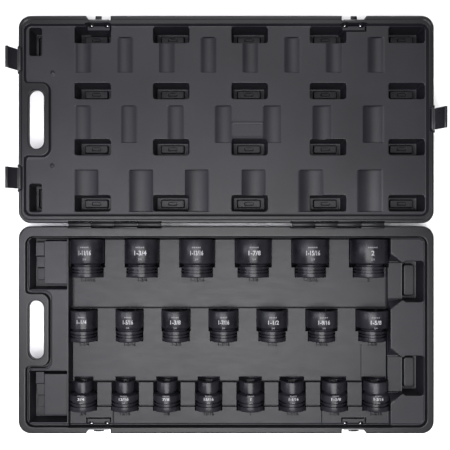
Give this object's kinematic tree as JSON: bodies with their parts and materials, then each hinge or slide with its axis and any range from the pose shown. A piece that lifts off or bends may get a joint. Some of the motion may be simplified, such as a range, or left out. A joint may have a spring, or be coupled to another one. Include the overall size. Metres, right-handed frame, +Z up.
{
  "type": "impact socket set in carry case",
  "caption": "Six-point impact sockets lying in the moulded tray of an open double-wall plastic carry case with draw latches, side clips and a handle.",
  "frame": {"origin": "on the floor under the middle of the open case", "axes": "+X along the hinge line with the handles at -X, +Y from the hinge into the lid, +Z up"},
  "size_m": [0.7182, 0.6936, 0.0767],
  "materials": {
    "case_plastic": "fine-textured black polyethylene",
    "black_steel": "black oxide, oiled",
    "plated_steel": "bright zinc plate"
  },
  "bodies": {
    "base": {"base_shell": "case_plastic", "hinge_pin_left": "plated_steel", "hinge_pin_right": "plated_steel", "latch_plate_left": "plated_steel", "latch_plate_right": "plated_steel", "latch_lever_pin_left": "plated_steel", "latch_lever_pin_right": "plated_steel", "latch_rivet_left_a": "plated_steel", "latch_rivet_left_b": "plated_steel", "latch_rivet_right_a": "plated_steel", "latch_rivet_right_b": "plated_steel"},
    "lid": {"lid_shell": "case_plastic", "keeper_left": "plated_steel", "keeper_right": "plated_steel", "keeper_rivet_left_a": "plated_steel", "keeper_rivet_left_b": "plated_steel", "keeper_rivet_right_a": "plated_steel", "keeper_rivet_right_b": "plated_steel"},
    "lever_left": {"latch_lever_left": "plated_steel"},
    "loop_left": {"latch_loop_left": "plated_steel"},
    "lever_right": {"latch_lever_right": "plated_steel"},
    "loop_right": {"latch_loop_right": "plated_steel"},
    "clip_left_front": {"side_latch_left_front": "case_plastic"},
    "clip_left_rear": {"side_latch_left_rear": "case_plastic"},
    "clip_right": {"side_latch_right": "case_plastic"},
    "socket_1_11_16": {"socket_1_11_16": "black_steel"},
    "socket_1_3_4": {"socket_1_3_4": "black_steel"},
    "socket_1_13_16": {"socket_1_13_16": "black_steel"},
    "socket_1_7_8": {"socket_1_7_8": "black_steel"},
    "socket_1_15_16": {"socket_1_15_16": "black_steel"},
    "socket_2": {"socket_2": "black_steel"},
    "socket_1_1_4": {"socket_1_1_4": "black_steel"},
    "socket_1_5_16": {"socket_1_5_16": "black_steel"},
    "socket_1_3_8": {"socket_1_3_8": "black_steel"},
    "socket_1_7_16": {"socket_1_7_16": "black_steel"},
    "socket_1_1_2": {"socket_1_1_2": "black_steel"},
    "socket_1_9_16": {"socket_1_9_16": "black_steel"},
    "socket_1_5_8": {"socket_1_5_8": "black_steel"},
    "socket_3_4": {"socket_3_4": "black_steel"},
    "socket_13_16": {"socket_13_16": "black_steel"},
    "socket_7_8": {"socket_7_8": "black_steel"},
    "socket_15_16": {"socket_15_16": "black_steel"},
    "socket_1": {"socket_1": "black_steel"},
    "socket_1_1_16": {"socket_1_1_16": "black_steel"},
    "socket_1_1_8": {"socket_1_1_8": "black_steel"},
    "socket_1_3_16": {"socket_1_3_16": "black_steel"}
  },
  "joints": [
    {"name": "lid_hinge", "type": "hinge", "parent": "base", "child": "lid", "pos_m": [0, 0, 0.0543], "axis": [-1, 0, 0], "range_deg": [-180, 0]},
    {"name": "lever_pivot_left", "type": "hinge", "parent": "base", "child": "lever_left", "pos_m": [-0.212, -0.3418, 0.046], "axis": [-1, 0, 0], "range_deg": [0, 150]},
    {"name": "loop_pivot_left", "type": "hinge", "parent": "lever_left", "child": "loop_left", "pos_m": [-0.212, -0.3414, 0.039], "axis": [1, 0, 0], "range_deg": [-165.9, 0]},
    {"name": "lever_pivot_right", "type": "hinge", "parent": "base", "child": "lever_right", "pos_m": [0.212, -0.3418, 0.046], "axis": [-1, 0, 0], "range_deg": [0, 150]},
    {"name": "loop_pivot_right", "type": "hinge", "parent": "lever_right", "child": "loop_right", "pos_m": [0.212, -0.3414, 0.039], "axis": [1, 0, 0], "range_deg": [-165.9, 0]},
    {"name": "clip_hinge_left_front", "type": "hinge", "parent": "lid", "child": "clip_left_front", "pos_m": [-0.3425, 0.273, 0.048], "axis": [0, -1, 0], "range_deg": [-25, 75]},
    {"name": "clip_hinge_left_rear", "type": "hinge", "parent": "lid", "child": "clip_left_rear", "pos_m": [-0.3425, 0.077, 0.048], "axis": [0, -1, 0], "range_deg": [-25, 75]},
    {"name": "clip_hinge_right", "type": "hinge", "parent": "lid", "child": "clip_right", "pos_m": [0.3425, 0.175, 0.048], "axis": [0, 1, 0], "range_deg": [-25, 75]},
    {"name": "lift_1_11_16", "type": "slide", "parent": "base", "child": "socket_1_11_16", "axis": [0, 0, 1], "range_m": [0, 0.09]},
    {"name": "lift_1_3_4", "type": "slide", "parent": "base", "child": "socket_1_3_4", "axis": [0, 0, 1], "range_m": [0, 0.09]},
    {"name": "lift_1_13_16", "type": "slide", "parent": "base", "child": "socket_1_13_16", "axis": [0, 0, 1], "range_m": [0, 0.09]},
    {"name": "lift_1_7_8", "type": "slide", "parent": "base", "child": "socket_1_7_8", "axis": [0, 0, 1], "range_m": [0, 0.09]},
    {"name": "lift_1_15_16", "type": "slide", "parent": "base", "child": "socket_1_15_16", "axis": [0, 0, 1], "range_m": [0, 0.09]},
    {"name": "lift_2", "type": "slide", "parent": "base", "child": "socket_2", "axis": [0, 0, 1], "range_m": [0, 0.09]},
    {"name": "lift_1_1_4", "type": "slide", "parent": "base", "child": "socket_1_1_4", "axis": [0, 0, 1], "range_m": [0, 0.09]},
    {"name": "lift_1_5_16", "type": "slide", "parent": "base", "child": "socket_1_5_16", "axis": [0, 0, 1], "range_m": [0, 0.09]},
    {"name": "lift_1_3_8", "type": "slide", "parent": "base", "child": "socket_1_3_8", "axis": [0, 0, 1], "range_m": [0, 0.09]},
    {"name": "lift_1_7_16", "type": "slide", "parent": "base", "child": "socket_1_7_16", "axis": [0, 0, 1], "range_m": [0, 0.09]},
    {"name": "lift_1_1_2", "type": "slide", "parent": "base", "child": "socket_1_1_2", "axis": [0, 0, 1], "range_m": [0, 0.09]},
    {"name": "lift_1_9_16", "type": "slide", "parent": "base", "child": "socket_1_9_16", "axis": [0, 0, 1], "range_m": [0, 0.09]},
    {"name": "lift_1_5_8", "type": "slide", "parent": "base", "child": "socket_1_5_8", "axis": [0, 0, 1], "range_m": [0, 0.09]},
    {"name": "lift_3_4", "type": "slide", "parent": "base", "child": "socket_3_4", "axis": [0, 0, 1], "range_m": [0, 0.09]},
    {"name": "lift_13_16", "type": "slide", "parent": "base", "child": "socket_13_16", "axis": [0, 0, 1], "range_m": [0, 0.09]},
    {"name": "lift_7_8", "type": "slide", "parent": "base", "child": "socket_7_8", "axis": [0, 0, 1], "range_m": [0, 0.09]},
    {"name": "lift_15_16", "type": "slide", "parent": "base", "child": "socket_15_16", "axis": [0, 0, 1], "range_m": [0, 0.09]},
    {"name": "lift_1", "type": "slide", "parent": "base", "child": "socket_1", "axis": [0, 0, 1], "range_m": [0, 0.09]},
    {"name": "lift_1_1_16", "type": "slide", "parent": "base", "child": "socket_1_1_16", "axis": [0, 0, 1], "range_m": [0, 0.09]},
    {"name": "lift_1_1_8", "type": "slide", "parent": "base", "child": "socket_1_1_8", "axis": [0, 0, 1], "range_m": [0, 0.09]},
    {"name": "lift_1_3_16", "type": "slide", "parent": "base", "child": "socket_1_3_16", "axis": [0, 0, 1], "range_m": [0, 0.09]}
  ]
}
